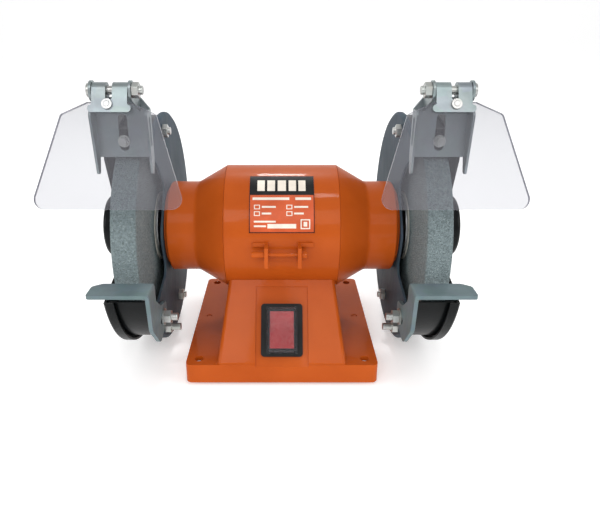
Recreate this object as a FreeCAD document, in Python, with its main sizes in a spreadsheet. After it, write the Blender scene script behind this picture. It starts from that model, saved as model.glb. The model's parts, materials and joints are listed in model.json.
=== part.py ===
"""Bench grinder with two 150 mm wheels, as a parametric FreeCAD document.

Frame: +X along the shaft to the right, +Y to the rear, +Z up. The origin lies on the
bench, straight below the middle of the shaft. Lengths are in millimetres.
"""
import FreeCAD, Part
import Sketcher
import math
import os
import re

DIMENSIONS = {
    # frame
    "axis_height": 92.5,
    "foot_height": 2.5,
    "seat_gap": 0.05,
    # motor shell
    "motor_radius": 44.3,
    "tube_half": 39.2,
    "cone_end": 59.7,
    "neck_radius": 32.4,
    "neck_end": 79.6,
    "spigot_radius": 28,
    "spigot_end": 81.5,
    "shell_wall": 3,
    "lug_pin_radius": 1.2,
    "lug_drop": 2.5,
    # shaft and bearings
    "shaft_radius": 6.35,
    "journal_radius": 7.5,
    "core_shaft_radius": 8.5,
    "shoulder_x": 64,
    "shaft_step_x": 84,
    "shaft_end": 121.5,
    "bearing_width": 11,
    "bearing_outer_radius": 17.5,
    "ball_radius": 3,
    "ball_circle": 12.5,
    "rotor_radius": 24.6,
    "air_gap": 0.4,
    "rotor_half": 26,
    "stator_half": 25,
    # wheels and flanges
    "wheel_radius": 75,
    "wheel_width": 16,
    "wheel_inner": 88.9,
    "blotter": 0.5,
    "flange_radius": 23,
    "outer_flange_radius": 22,
    "outer_flange_width": 4,
    "nut_height": 9,
    # guards
    "sheet": 1.5,
    "stud_radius": 2.5,
    "stud_nut_flats": 8,
    "guard_radius": 82,
    "band_radius": 80,
    "cover_inner": 110,
    "cover_radius": 83.5,
    "boss_radius": 24,
    "boss_end": 126,
    # base
    "base_half_width": 65.5,
    "base_half_depth": 68,
    "skirt_height": 14,
    "base_wall": 3.5,
    "pedestal_half_width": 43.75,
    "pedestal_top_half_width": 37,
    "pedestal_top_half_depth": 34,
    "pedestal_top_drop": 28,
    "bench_hole_x": 57,
    "bench_hole_y": 60,
    "bench_hole_radius": 3,
    "plate_screw_radius": 2,
    "cable_hole_radius": 5.5,
    # switch
    "switch_width": 28.5,
    "switch_height": 36,
    "bezel_thickness": 2.3,
    "rocker_width": 16.4,
    "rocker_pivot": 1.6,
    # shield and its bracket
    "shield_centre": 97,
    "bracket_half": 17.5,
    "bracket_y": 46.1,
    "bracket_bottom": 62.5,
    "bracket_shoulder": 92,
    "bracket_top": 99,
    "slot_bolt_height": 72.5,
    "hinge_y": 64,
    "hinge_z": 105,
    "shield_tilt": 22,
    "pane_offset": 1,
    "shield_length": 68.2,
    "shield_thickness": 2.5,
    "pin_radius": 2.5,
    "knuckle_radius": 4.5,
    "pane_screw_drop": 9,
    # tool rest
    "rest_top": 10,
    "rest_thickness": 2.5,
    "rest_front": 95,
    "rest_rear": 78,
    "rest_inner": 78.7,
    "rest_outer": 116.5,
}

doc = FreeCAD.newDocument("BenchGrinder")
sheet = doc.addObject("Spreadsheet::Sheet", "Dimensions")
for row, (alias, size) in enumerate(DIMENSIONS.items(), start=1):
    sheet.set("A%d" % row, alias)
    sheet.set("B%d" % row, str(size))
    sheet.setAlias("B%d" % row, alias)
doc.recompute()

PIECES = []


# ---- helpers ------------------------------------------------------------------------


def linked(expression):
    """The expression with each dimension's name read from the sheet."""

    def from_sheet(match):
        word = match.group(0)
        return "Dimensions." + word if word in DIMENSIONS else word

    return re.sub(r"[a-z][a-z_0-9]*", from_sheet, str(expression))


def amount(expression):
    """The present value of an expression in millimetres."""
    found = sheet.evalExpression(linked(expression).replace("Dimensions.", ""))
    return float(getattr(found, "Value", found))


def piece(thing, name, height="axis_height"):
    """Names a finished sub-part. Its own zero lies at the given height above the bench."""
    thing.Label = name
    thing.Placement.Base.z = amount(height)
    if not thing.isDerivedFrom("Part::Feature") or thing.TypeId != "Part::Feature":
        thing.setExpression(".Placement.Base.z", linked(height))
    PIECES.append(thing)
    return thing


def new_body(name):
    return doc.addObject("PartDesign::Body", name + "_body")


def origin_plane(body, role):
    return next(part for part in body.Origin.OriginFeatures if part.Role == role)


def sketch_on(body, role, offset="0"):
    """A sketch on one of the body's origin planes, moved along the plane's normal."""
    count = len(body.Group)
    sketch = body.newObject("Sketcher::SketchObject", "%s_sketch%d" % (body.Name, count))
    sketch.AttachmentSupport = [(origin_plane(body, role), "")]
    sketch.MapMode = "FlatFace"
    sketch.AttachmentOffset.Base.z = amount(offset)
    sketch.setExpression(".AttachmentOffset.Base.z", linked(offset))
    return sketch


def hold(sketch, kind, geometry, expression, *point):
    """A dimension of the sketch that follows the sheet."""
    index = sketch.addConstraint(
        Sketcher.Constraint(kind, geometry, *point, amount(expression))
    )
    sketch.setExpression("Constraints[%d]" % index, linked(expression))


def place_point(sketch, geometry, position, x, y):
    hold(sketch, "DistanceX", geometry, x, position)
    hold(sketch, "DistanceY", geometry, y, position)


def rounded_corner(before, corner, after, radius):
    """Start, middle and end of the arc that rounds a corner, and the arc's centre."""
    to_before = (before - corner).normalize()
    to_after = (after - corner).normalize()
    half_angle = to_before.getAngle(to_after) / 2
    reach = radius / math.tan(half_angle)
    bisector = (to_before + to_after).normalize()
    centre = corner + bisector * (radius / math.sin(half_angle))
    return corner + to_before * reach, corner + to_after * reach, centre


def outline(sketch, corners):
    """A closed outline of straight lines. A corner is (x, y) or (x, y, radius)."""
    spots = [FreeCAD.Vector(amount(c[0]), amount(c[1]), 0) for c in corners]
    starts, ends, arcs = [], [], {}
    for i, corner in enumerate(corners):
        if len(corner) == 3:
            before, after = spots[i - 1], spots[(i + 1) % len(spots)]
            begin, finish, centre = rounded_corner(before, spots[i], after, amount(corner[2]))
            arcs[i] = centre
        else:
            begin = finish = spots[i]
        ends.append(begin)
        starts.append(finish)
    lines = []
    for i in range(len(corners)):
        j = (i + 1) % len(corners)
        lines.append(sketch.addGeometry(Part.LineSegment(starts[i], ends[j]), False))
    for i, corner in enumerate(corners):
        before, after = lines[i - 1], lines[i]
        if i not in arcs:
            sketch.addConstraint(Sketcher.Constraint("Coincident", before, 2, after, 1))
            place_point(sketch, after, 1, corner[0], corner[1])
            continue
        centre, radius = arcs[i], amount(corner[2])
        first = ends[i] - centre
        second = starts[i] - centre
        turn = first.cross(second).z
        begin, finish = (first, second) if turn > 0 else (second, first)
        arc = sketch.addGeometry(
            Part.ArcOfCircle(
                Part.Circle(centre, FreeCAD.Vector(0, 0, 1), radius),
                math.atan2(begin.y, begin.x),
                math.atan2(finish.y, finish.x),
            ),
            False,
        )
        to_before, to_after = (1, 2) if turn > 0 else (2, 1)
        sketch.addConstraint(Sketcher.Constraint("Tangent", before, 2, arc, to_before))
        sketch.addConstraint(Sketcher.Constraint("Tangent", after, 1, arc, to_after))
        hold(sketch, "Radius", arc, corner[2])
        point = sketch.addGeometry(Part.Point(spots[i]), True)
        sketch.addConstraint(Sketcher.Constraint("PointOnObject", point, 1, before))
        sketch.addConstraint(Sketcher.Constraint("PointOnObject", point, 1, after))
        place_point(sketch, point, 1, corner[0], corner[1])


def circle(sketch, x, y, radius):
    centre = FreeCAD.Vector(amount(x), amount(y), 0)
    ring = sketch.addGeometry(
        Part.Circle(centre, FreeCAD.Vector(0, 0, 1), amount(radius)), False
    )
    place_point(sketch, ring, 3, x, y)
    hold(sketch, "Radius", ring, radius)


def rectangle(sketch, left, bottom, right, top, radius=None):
    corners = [(left, bottom), (right, bottom), (right, top), (left, top)]
    if radius is not None:
        corners = [corner + (radius,) for corner in corners]
    outline(sketch, corners)


def turned(body, corners):
    """A solid of revolution about X. Corners are (distance along the shaft, radius)."""
    sketch = sketch_on(body, "XY_Plane")
    outline(sketch, corners)
    feature = body.newObject("PartDesign::Revolution", sketch.Name + "_turned")
    feature.Profile = sketch
    feature.ReferenceAxis = (sketch, ["H_Axis"])
    feature.Angle = 360
    return feature


def pad(body, sketch, length, towards=1):
    """Adds the outline's prism, along the plane's normal or against it."""
    feature = body.newObject("PartDesign::Pad", sketch.Name + "_pad")
    feature.Profile = sketch
    feature.setExpression("Length", linked(length))
    feature.Length = amount(length)
    feature.Reversed = towards < 0
    return feature


def pocket(body, sketch, length, towards=1):
    """Cuts the outline's prism, along the plane's normal or against it, and proves it."""
    doc.recompute()
    before = body.Shape.Volume
    feature = body.newObject("PartDesign::Pocket", sketch.Name + "_pocket")
    feature.Profile = sketch
    feature.setExpression("Length", linked(length))
    feature.Length = amount(length)
    feature.Reversed = towards > 0
    doc.recompute()
    if body.Shape.Volume > before - 0.01:
        raise RuntimeError("%s cuts nothing" % feature.Name)
    return feature


def round_edges(body, name, radius, wanted):
    """Rounds the edges whose bounding box is wanted."""
    doc.recompute()
    names = []
    for index, edge in enumerate(body.Shape.Edges, start=1):
        if wanted(edge.BoundBox):
            names.append("Edge%d" % index)
    rounded = body.Tip
    fillet = body.newObject("PartDesign::Fillet", name)
    fillet.Base = (rounded, names)
    fillet.Radius = amount(radius)
    fillet.setExpression("Radius", linked(radius))
    doc.recompute()


def along_y_at(box, x, z):
    """Whether an edge runs along Y at the given x and z."""
    straight = box.XLength < 0.01 and box.ZLength < 0.01 and box.YLength > 1
    return straight and abs(box.XMin - x) < 0.01 and abs(box.ZMin - z) < 0.01


def primitive(kind, name, **sizes):
    thing = doc.addObject("Part::" + kind, name)
    for size, expression in sizes.items():
        setattr(thing, size, amount(expression))
        thing.setExpression(size, linked(expression))
    return thing


def put(thing, x="0", y="0", z="0", turn=None):
    """Places a primitive. turn is (axis, degrees)."""
    if turn:
        thing.Placement.Rotation = FreeCAD.Rotation(FreeCAD.Vector(*turn[0]), turn[1])
    for axis, expression in zip("xyz", (x, y, z)):
        setattr(thing.Placement.Base, axis, amount(expression))
        thing.setExpression(".Placement.Base." + axis, linked(expression))
    return thing


def rod(name, start, length, radius, y="0", z="0", side=1):
    """A cylinder along X from start outward on the given side."""
    thing = primitive("Cylinder", name, Radius=radius, Height=length)
    low = start if side > 0 else "-(%s) - (%s)" % (start, length)
    return put(thing, low, y, z, ((0, 1, 0), 90))


def hexagon(name, start, length, across_flats, y="0", z="0", side=1):
    """A hexagonal prism along X, such as a bolt head or a nut."""
    thing = primitive("Prism", name, Circumradius="(%s) / sqrt(3)" % across_flats, Height=length)
    thing.Polygon = 6
    low = start if side > 0 else "-(%s) - (%s)" % (start, length)
    return put(thing, low, y, z, ((0, 1, 0), 90))


def fuse(name, things):
    result = doc.addObject("Part::MultiFuse", name + "_fuse")
    result.Shapes = things
    return result


def cut(name, base, tool):
    result = doc.addObject("Part::Cut", name + "_cut")
    result.Base = base
    result.Tool = tool
    return result


def group(name, things):
    """Several separate solids under one name."""
    result = doc.addObject("Part::Compound", name + "_group")
    result.Links = things
    return result


def formed(name, shape, height="axis_height"):
    """A sub-part whose shape comes from Part's own functions."""
    thing = doc.addObject("Part::Feature", name + "_shape")
    thing.Shape = shape
    return piece(thing, name, height)


def cylinder_along_x(start, length, radius, y=0.0, z=0.0):
    return Part.makeCylinder(
        radius, length, FreeCAD.Vector(start, y, z), FreeCAD.Vector(1, 0, 0)
    )


def mirrored(expression, side):
    return "(%s)" % expression if side > 0 else "-(%s)" % expression


def sided(corners, side):
    """An outline whose first coordinate is measured outward on one side."""
    return [(mirrored(corner[0], side),) + tuple(corner[1:]) for corner in corners]


SIDES = (("left", -1), ("right", 1))

# Places on a guard, as (along Y, along Z) from the shaft's axis.
GUARD_SCREWS = (
    ("20 * cos(90)", "20 * sin(90)"),
    ("20 * cos(210)", "20 * sin(210)"),
    ("20 * cos(330)", "20 * sin(330)"),
)
REST_BOLT = ("-62", "-42")
PLATE_BOLT = ("-44", "-60")
GUARD_STUDS = (("-6.5", "71"), ("10", "-62"))
COVER_SCREWS = (
    ("(band_radius - 6) * cos(20)", "-(band_radius - 6) * sin(20)"),
    ("8", "-(band_radius - 6.2)"),
    ("8", "band_radius - 6.2"),
)


# ---- base ---------------------------------------------------------------------------


def build_base():
    top = "foot_height + skirt_height"
    pedestal_top = "axis_height - pedestal_top_drop"
    body = new_body("base")
    skirt = sketch_on(body, "XY_Plane", "foot_height")
    rectangle(
        skirt, "-base_half_width", "-base_half_depth", "base_half_width", "base_half_depth", "4"
    )
    pad(body, skirt, "skirt_height")
    profile = sketch_on(body, "YZ_Plane", "-pedestal_half_width")
    outline(
        profile,
        [
            ("-base_half_depth", "foot_height"),
            ("base_half_depth", "foot_height"),
            ("base_half_depth", top, "6"),
            ("pedestal_top_half_depth", pedestal_top),
            ("-pedestal_top_half_depth", pedestal_top),
            ("-base_half_depth", top, "6"),
        ],
    )
    pad(body, profile, "2 * pedestal_half_width")
    for name, side in SIDES:
        taper = sketch_on(body, "XZ_Plane", "-base_half_depth - 1")
        outline(
            taper,
            sided(
                [
                    ("pedestal_half_width", top),
                    ("pedestal_half_width + 2", top),
                    ("pedestal_half_width + 2", pedestal_top + " + 1"),
                    ("pedestal_top_half_width", pedestal_top + " + 1"),
                ],
                side,
            ),
        )
        pocket(body, taper, "2 * base_half_depth + 2", 1)
    round_pedestal(body)
    cradle = sketch_on(body, "YZ_Plane", "-base_half_width")
    circle(cradle, "0", "axis_height", "motor_radius + seat_gap")
    pocket(body, cradle, "2 * base_half_width")
    cavity = sketch_on(body, "XY_Plane", "foot_height")
    rectangle(
        cavity,
        "-base_half_width + base_wall",
        "-base_half_depth + base_wall",
        "base_half_width - base_wall",
        "base_half_depth - base_wall",
        "4",
    )
    pocket(body, cavity, "skirt_height - base_wall")
    chamber = sketch_on(body, "YZ_Plane", "-pedestal_top_half_width + base_wall")
    outline(
        chamber,
        [
            ("-base_half_depth + 8", "foot_height"),
            ("base_half_depth - 8", "foot_height"),
            ("base_half_depth - 6", top + " - 2"),
            ("46", "axis_height - 51"),
            ("30", "axis_height - 40"),
            ("14", "axis_height - 47.5"),
            ("-14", "axis_height - 47.5"),
            ("-30", "axis_height - 40"),
            ("-46", "axis_height - 51"),
            ("-base_half_depth + 6", top + " - 2"),
        ],
    )
    pocket(body, chamber, "2 * (pedestal_top_half_width - base_wall)")
    holes = sketch_on(body, "XY_Plane", "foot_height")
    for x in ("-bench_hole_x", "bench_hole_x"):
        for y in ("-bench_hole_y", "bench_hole_y"):
            circle(holes, x, y, "bench_hole_radius")
        circle(holes, x, "0", "plate_screw_radius + 0.2")
    pocket(body, holes, "skirt_height + 1")
    cable = sketch_on(body, "XZ_Plane", "-base_half_depth - 1")
    circle(cable, "0", "foot_height + 8", "cable_hole_radius")
    pocket(body, cable, "base_wall + 3", 1)
    return body


def round_pedestal(body):
    """Rounds the four leaning corners of the pedestal."""
    low = amount("foot_height + skirt_height")

    def leaning(box):
        return box.ZMin > low and box.ZLength > 30 and box.XLength > 2 and box.YLength > 15

    round_edges(body, "pedestal_corners", "3", leaning)


def slope_placement(forward, depth=0.0):
    """A frame on the pedestal's front: X right, Y up the slope, Z out of the face.

    forward is the distance up the slope from its lower edge, depth the distance inward.
    """
    rise = amount("axis_height - pedestal_top_drop - foot_height - skirt_height")
    run = amount("base_half_depth - pedestal_top_half_depth")
    lean = math.degrees(math.atan2(rise, run))
    rotation = FreeCAD.Rotation(FreeCAD.Vector(1, 0, 0), lean)
    start = FreeCAD.Vector(0, -amount("base_half_depth"), amount("foot_height + skirt_height"))
    offset = rotation.multVec(FreeCAD.Vector(0, forward, -depth))
    return FreeCAD.Placement(start + offset, rotation)


# Millimetres on the pedestal's front: the switch's middle up the slope, how far the seat of
# its bezel stands out of the slope, and how deep the rocker's pivot lies below that seat.
SWITCH_MIDDLE = 23.5
SWITCH_LIFT = 1.0
PIVOT_DEPTH = 3.0


def slope_box(name, width, height, thickness, top):
    """A box centred on the switch. top is how far its front stands out of the slope."""
    box = primitive("Box", name, Length=width, Width=height, Height=thickness)
    place = slope_placement(SWITCH_MIDDLE, amount(thickness) - top)
    shift = FreeCAD.Vector(-amount(width) / 2, -amount(height) / 2, 0)
    box.Placement = FreeCAD.Placement(place.Base + place.Rotation.multVec(shift), place.Rotation)
    return box


def rounded_box(name, box, radius):
    """The box with the four edges along its height rounded."""
    doc.recompute()
    rounded = doc.addObject("Part::Fillet", name)
    rounded.Base = box
    size = amount(radius)
    edges = []
    for index, edge in enumerate(box.Shape.Edges, start=1):
        if abs(edge.Length - box.Height.Value) < 0.001:
            edges.append((index, size, size))
    rounded.Edges = edges
    return rounded


def build_base_assembly():
    body = build_base()
    recess = slope_box("switch_recess", "switch_width + 7.5", "60", "6", 6 - SWITCH_LIFT)
    recess.Placement.Base += recess.Placement.Rotation.multVec(FreeCAD.Vector(0, 9, 0))
    window = slope_box("switch_window", "switch_width - 2.5", "switch_height - 3", "40", 5.0)
    hollow = fuse("base_openings", [recess, window])
    whole = cut("base", body, hollow)
    piece(whole, "base", "0")

    lifted = SWITCH_LIFT
    frame_box = slope_box(
        "switch_frame", "switch_width", "switch_height", "bezel_thickness", lifted + 0.35
    )
    frame = rounded_box("switch_frame_rounded", frame_box, "2.4")
    case = slope_box("switch_case", "switch_width - 3", "switch_height - 3.5", "12.5", lifted - 1.9)
    well = slope_box("switch_well", "rocker_width + 0.8", "29", "10", lifted + 0.5)
    socket = primitive("Cylinder", "switch_pivot_socket", Radius="rocker_pivot + 0.06", Height="22.6")
    across = FreeCAD.Rotation(FreeCAD.Vector(0, 1, 0), 90)
    place = slope_placement(SWITCH_MIDDLE, PIVOT_DEPTH - lifted)
    shift = place.Rotation.multVec(FreeCAD.Vector(-11.3, 0, 0))
    socket.Placement = FreeCAD.Placement(place.Base + shift, place.Rotation.multiply(across))
    openings = fuse("switch_hollows", [well, socket])
    housing = cut("switch_housing", fuse("switch_case_frame", [frame, case]), openings)
    piece(housing, "switch_housing", "0")
    build_rocker(lifted)
    build_boot(lifted)


def build_rocker(lifted):
    """The rocker, with grip grooves on its upper half and a pivot pin through it."""
    rocker = doc.addObject("Part::Feature", "switch_rocker_shape")
    half, width = 12.6, amount("rocker_width")
    corners = [(-half, -4.8), (half, -4.8), (half, 1.2), (0, 1.2), (-half, 3.8)]
    wire = Part.makePolygon([FreeCAD.Vector(0, y, z) for y, z in corners + corners[:1]])
    prism = Part.Face(wire).extrude(FreeCAD.Vector(width, 0, 0))
    prism.translate(FreeCAD.Vector(-width / 2, 0, 0))
    grooves = []
    for step in range(-2, 3):
        grooves.append(Part.makeBox(0.9, 7.5, 1, FreeCAD.Vector(2.9 * step - 0.45, 3.2, 0.8)))
    pivot = cylinder_along_x(-11, 22, amount("rocker_pivot"), 0, -PIVOT_DEPTH)
    rocker.Shape = prism.cut(Part.makeCompound(grooves)).fuse(pivot)
    PIECES.append(rocker)
    rocker.Label = "switch_rocker"
    rocker.Placement = slope_placement(SWITCH_MIDDLE, -lifted)


def build_boot(lifted):
    """The clear splash boot over the rocker."""
    boot = doc.addObject("Part::Feature", "switch_boot_shape")
    width = amount("rocker_width") + 3.4
    flange = Part.makeBox(width + 1.6, 31.4, 0.8, FreeCAD.Vector(-width / 2 - 0.8, -15.7, 0.35))
    dome = Part.makeBox(width, 30, 6.6, FreeCAD.Vector(-width / 2, -15, 0.35))
    dome = dome.makeFillet(2.5, [e for e in dome.Edges if e.BoundBox.ZMax > 6])
    inside = Part.makeBox(width - 1.6, 28.4, 6.8, FreeCAD.Vector(0.8 - width / 2, -14.2, -0.65))
    boot.Shape = flange.fuse(dome).cut(inside)
    PIECES.append(boot)
    boot.Label = "switch_boot"
    boot.Placement = slope_placement(SWITCH_MIDDLE, -lifted)


def build_base_fittings():
    feet = []
    for x in ("-bench_hole_x + 12", "bench_hole_x - 12"):
        for y in ("-bench_hole_y + 4", "bench_hole_y - 4"):
            foot = primitive("Cone", "foot", Radius1="6", Radius2="7.2", Height="foot_height + 8.95")
            feet.append(put(foot, x, y, "0"))
    piece(group("rubber_feet", feet), "rubber_feet", "0")

    body = new_body("base_plate")
    plate = sketch_on(body, "XY_Plane", "foot_height + 9")
    rectangle(
        plate,
        "-base_half_width + 5",
        "-base_half_depth + 5",
        "base_half_width - 5",
        "base_half_depth - 5",
        "4",
    )
    pad(body, plate, "1.2")
    holes = sketch_on(body, "XY_Plane", "foot_height + 8")
    for x in ("-bench_hole_x", "bench_hole_x"):
        for y in ("-bench_hole_y", "bench_hole_y"):
            circle(holes, x, y, "bench_hole_radius + 2")
        circle(holes, x, "0", "plate_screw_radius + 0.2")
    pocket(body, holes, "4")
    piece(body, "base_plate", "0")

    screws = []
    for x in ("-bench_hole_x", "bench_hole_x"):
        head = primitive("Cylinder", "plate_screw_head", Radius="3.6", Height="1.8")
        put(head, x, "0", "foot_height + 7.15")
        shank = primitive("Cylinder", "plate_screw_shank", Radius="plate_screw_radius", Height="skirt_height - 9.2")
        put(shank, x, "0", "foot_height + 8.9")
        screws.append(fuse("plate_screw", [head, shank]))
    piece(group("base_plate_screws", screws), "base_plate_screws", "0")

    can = primitive("Cylinder", "capacitor_can", Radius="9", Height="42")
    put(can, "-21", "28", "foot_height + 20", ((0, 1, 0), 90))
    piece(group("capacitor", [can]), "capacitor", "0")
    block = primitive("Box", "terminal_box", Length="24", Width="12", Height="10")
    put(block, "-12", "6", "foot_height + 10.4")
    piece(group("terminal_block", [block]), "terminal_block", "0")

    collar = primitive("Cylinder", "grommet_collar", Radius="8", Height="3")
    put(collar, "0", "base_half_depth + 3.1", "foot_height + 8", ((1, 0, 0), 90))
    sleeve = primitive("Cylinder", "grommet_sleeve", Radius="cable_hole_radius - 0.05", Height="6")
    put(sleeve, "0", "base_half_depth + 2", "foot_height + 8", ((1, 0, 0), 90))
    passage = primitive("Cylinder", "grommet_passage", Radius="3.6", Height="12")
    put(passage, "0", "base_half_depth + 5", "foot_height + 8", ((1, 0, 0), 90))
    grommet = cut("cord_grommet", fuse("grommet_outside", [collar, sleeve]), passage)
    piece(grommet, "cord_grommet", "0")


# ---- motor --------------------------------------------------------------------------


def build_housing():
    body = new_body("stator_housing")
    turned(
        body,
        [
            ("-tube_half", "motor_radius - shell_wall"),
            ("tube_half", "motor_radius - shell_wall"),
            ("tube_half", "motor_radius"),
            ("-tube_half", "motor_radius"),
        ],
    )
    piece(body, "stator_housing")


def build_end_shield(name, side):
    body = new_body(name)
    turned(
        body,
        sided(
            [
                ("tube_half", "motor_radius - shell_wall"),
                ("tube_half - 4", "motor_radius - shell_wall - 0.05"),
                ("tube_half - 4", "motor_radius - shell_wall - 2.6"),
                ("tube_half + 1", "motor_radius - shell_wall - 2.6"),
                ("cone_end - 3", "neck_radius - 3.5"),
                ("shoulder_x - 2", "neck_radius - 3.5"),
                ("shoulder_x - 2", "bearing_outer_radius + 0.02"),
                ("shoulder_x + bearing_width + 1.2", "bearing_outer_radius + 0.02"),
                ("shoulder_x + bearing_width + 1.2", "journal_radius + 1"),
                ("spigot_end", "journal_radius + 1"),
                ("spigot_end", "spigot_radius"),
                ("neck_end", "spigot_radius"),
                ("neck_end", "neck_radius", "1.5"),
                ("cone_end", "neck_radius", "6"),
                ("tube_half", "motor_radius"),
            ],
            side,
        ),
    )
    threads = sketch_on(body, "YZ_Plane", "%d * (spigot_end + 1)" % side)
    for y, z in GUARD_SCREWS:
        circle(threads, y, z, "2.05")
    pocket(body, threads, "6", -side)
    piece(body, name)


def build_windings():
    """Stator stack with slots, its copper end turns, and the rotor's caged core."""
    reach = amount("stator_half")
    outer = amount("motor_radius - shell_wall") - 0.05
    inner = amount("rotor_radius + air_gap")
    stack = cylinder_along_x(-reach, 2 * reach, outer)
    stack = stack.cut(cylinder_along_x(-reach - 1, 2 * reach + 2, inner))
    slots, coils = [], []
    slot_depth = 9.0
    for step in range(24):
        turn = 15.0 * step
        slot = Part.makeBox(2 * reach + 2, slot_depth + 1, 3.0)
        slot.translate(FreeCAD.Vector(-reach - 1, inner - 0.5, -1.5))
        slot.rotate(FreeCAD.Vector(0, 0, 0), FreeCAD.Vector(1, 0, 0), turn)
        slots.append(slot)
        coil = Part.makeBox(2 * reach + 8, slot_depth - 2, 2.8)
        coil.translate(FreeCAD.Vector(-reach - 4, inner + 2, -1.4))
        coil.rotate(FreeCAD.Vector(0, 0, 0), FreeCAD.Vector(1, 0, 0), turn)
        coils.append(coil)
    formed("stator_core", stack.cut(Part.makeCompound(slots)))
    ends = []
    for side in (-1, 1):
        ring = Part.makeTorus(
            inner + 6.2, 5.0, FreeCAD.Vector(side * (reach + 5.4), 0, 0), FreeCAD.Vector(1, 0, 0)
        )
        ends.append(ring)
    formed("windings", coils[0].multiFuse(coils[1:] + ends))

    core = cylinder_along_x(
        -amount("rotor_half"), 2 * amount("rotor_half"), amount("rotor_radius")
    )
    for side in (-1, 1):
        start = amount("rotor_half") if side > 0 else -amount("rotor_half") - 5
        core = core.fuse(cylinder_along_x(start, 5, amount("rotor_radius") - 2))
    bore = cylinder_along_x(-60, 120, amount("core_shaft_radius") + 0.01)
    formed("rotor_core", core.cut(bore))


def build_shaft():
    body = new_body("shaft")
    turned(
        body,
        [
            ("-shaft_end", "0"),
            ("shaft_end", "0"),
            ("shaft_end", "shaft_radius - 1"),
            ("shaft_end - 1", "shaft_radius"),
            ("shaft_step_x", "shaft_radius"),
            ("shaft_step_x", "journal_radius"),
            ("shoulder_x", "journal_radius"),
            ("shoulder_x", "core_shaft_radius"),
            ("-shoulder_x", "core_shaft_radius"),
            ("-shoulder_x", "journal_radius"),
            ("-shaft_step_x", "journal_radius"),
            ("-shaft_step_x", "shaft_radius"),
            ("-shaft_end + 1", "shaft_radius"),
            ("-shaft_end", "shaft_radius - 1"),
        ],
    )
    piece(body, "shaft")


def build_bearing(label, side):
    """Outer ring, inner ring and eight balls on the raceway between them."""
    start = "shoulder_x + 0.05"
    finish = "shoulder_x + bearing_width"
    outer = new_body(label + "_bearing_outer")
    inner_edge = "ball_circle + 2"
    turned(
        outer,
        sided(
            [
                (start, inner_edge),
                (finish, inner_edge),
                (finish, "bearing_outer_radius"),
                (start, "bearing_outer_radius"),
            ],
            side,
        ),
    )
    inner = new_body(label + "_bearing_inner")
    turned(
        inner,
        sided(
            [
                (start, "journal_radius + 0.01"),
                (finish, "journal_radius + 0.01"),
                (finish, "ball_circle - 2"),
                (start, "ball_circle - 2"),
            ],
            side,
        ),
    )
    middle = "%d * (shoulder_x + bearing_width / 2)" % side
    for body, name in ((outer, label + "_bearing_outer"), (inner, label + "_bearing_inner")):
        race = doc.addObject("Part::Torus", name + "_race")
        race.Radius1 = amount("ball_circle")
        race.setExpression("Radius1", linked("ball_circle"))
        race.Radius2 = amount("ball_radius + 0.06")
        race.setExpression("Radius2", linked("ball_radius + 0.06"))
        put(race, middle, "0", "0", ((0, 1, 0), 90))
        piece(cut(name, body, race), name)
    balls = []
    for step in range(8):
        ball = primitive("Sphere", label + "_ball", Radius="ball_radius")
        angle = 45 * step
        balls.append(
            put(ball, middle, "ball_circle * cos(%d)" % angle, "ball_circle * sin(%d)" % angle)
        )
    piece(group(label + "_bearing_balls", balls), label + "_bearing_balls")


def build_wave_washer():
    washer = rod("washer_disc", "shoulder_x + bearing_width + 0.1", "1", "16.5", side=-1)
    hole = rod("washer_hole", "shoulder_x + bearing_width - 1", "4", "13", side=-1)
    piece(cut("wave_washer", washer, hole), "wave_washer")


def build_rating_plate():
    radius = amount("motor_radius") + 0.02
    half = 21.8
    plate = cylinder_along_x(-half, 2 * half, radius + 0.4)
    plate = plate.cut(cylinder_along_x(-half - 1, 2 * half + 2, radius))
    reach = 2 * radius
    low, high = math.radians(13), math.radians(69)
    wedge = Part.makePolygon(
        [
            FreeCAD.Vector(-half - 1, 0, 0),
            FreeCAD.Vector(-half - 1, -reach * math.cos(low), reach * math.sin(low)),
            FreeCAD.Vector(-half - 1, -reach * math.cos(high), reach * math.sin(high)),
            FreeCAD.Vector(-half - 1, 0, 0),
        ]
    )
    sector = Part.Face(wedge).extrude(FreeCAD.Vector(2 * half + 2, 0, 0))
    plate = plate.common(sector)
    corners = [edge for edge in plate.Edges if abs(edge.Length - 0.4) < 0.01]
    formed("rating_plate", plate.makeFillet(1.6, corners))


def build_lug_bracket():
    """A small clamp on the front of the motor: saddle strip, two ears and a cross bolt."""
    strip = primitive("Box", "lug_strip", Length="24", Width="2", Height="4")
    shapes = [put(strip, "-11.5", "-motor_radius - 1", "-9")]
    for foot_x, ear_x in (("-19.5", "-11.5"), ("10.5", "10.5")):
        foot = primitive("Box", "lug_foot", Length="10.5", Width="3", Height="3")
        shapes.append(put(foot, foot_x, "-motor_radius - 1.4", "1"))
        ear = primitive("Box", "lug_ear", Length="2.5", Width="12", Height="14")
        shapes.append(put(ear, ear_x, "-motor_radius - 10.5", "-10.5"))
    shell = rod("lug_saddle", "-40", "80", "motor_radius + 0.05")
    passage = rod("lug_passage", "-40", "80", "lug_pin_radius + 0.1", "-motor_radius - 6", "-lug_drop")
    bracket = cut("lug_bracket", fuse("lug_solid", shapes), fuse("lug_cuts", [shell, passage]))
    piece(bracket, "lug_bracket")
    bolt = [
        rod("lug_pin", "-20", "36", "lug_pin_radius", "-motor_radius - 6", "-lug_drop"),
        rod("lug_sleeve", "-20", "8.3", "2.1", "-motor_radius - 6", "-lug_drop"),
        hexagon("lug_head", "13.2", "3.4", "4.4", "-motor_radius - 6", "-lug_drop"),
    ]
    piece(fuse("lug_bolt", bolt), "lug_bolt")


# ---- wheels and flanges -------------------------------------------------------------


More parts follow.
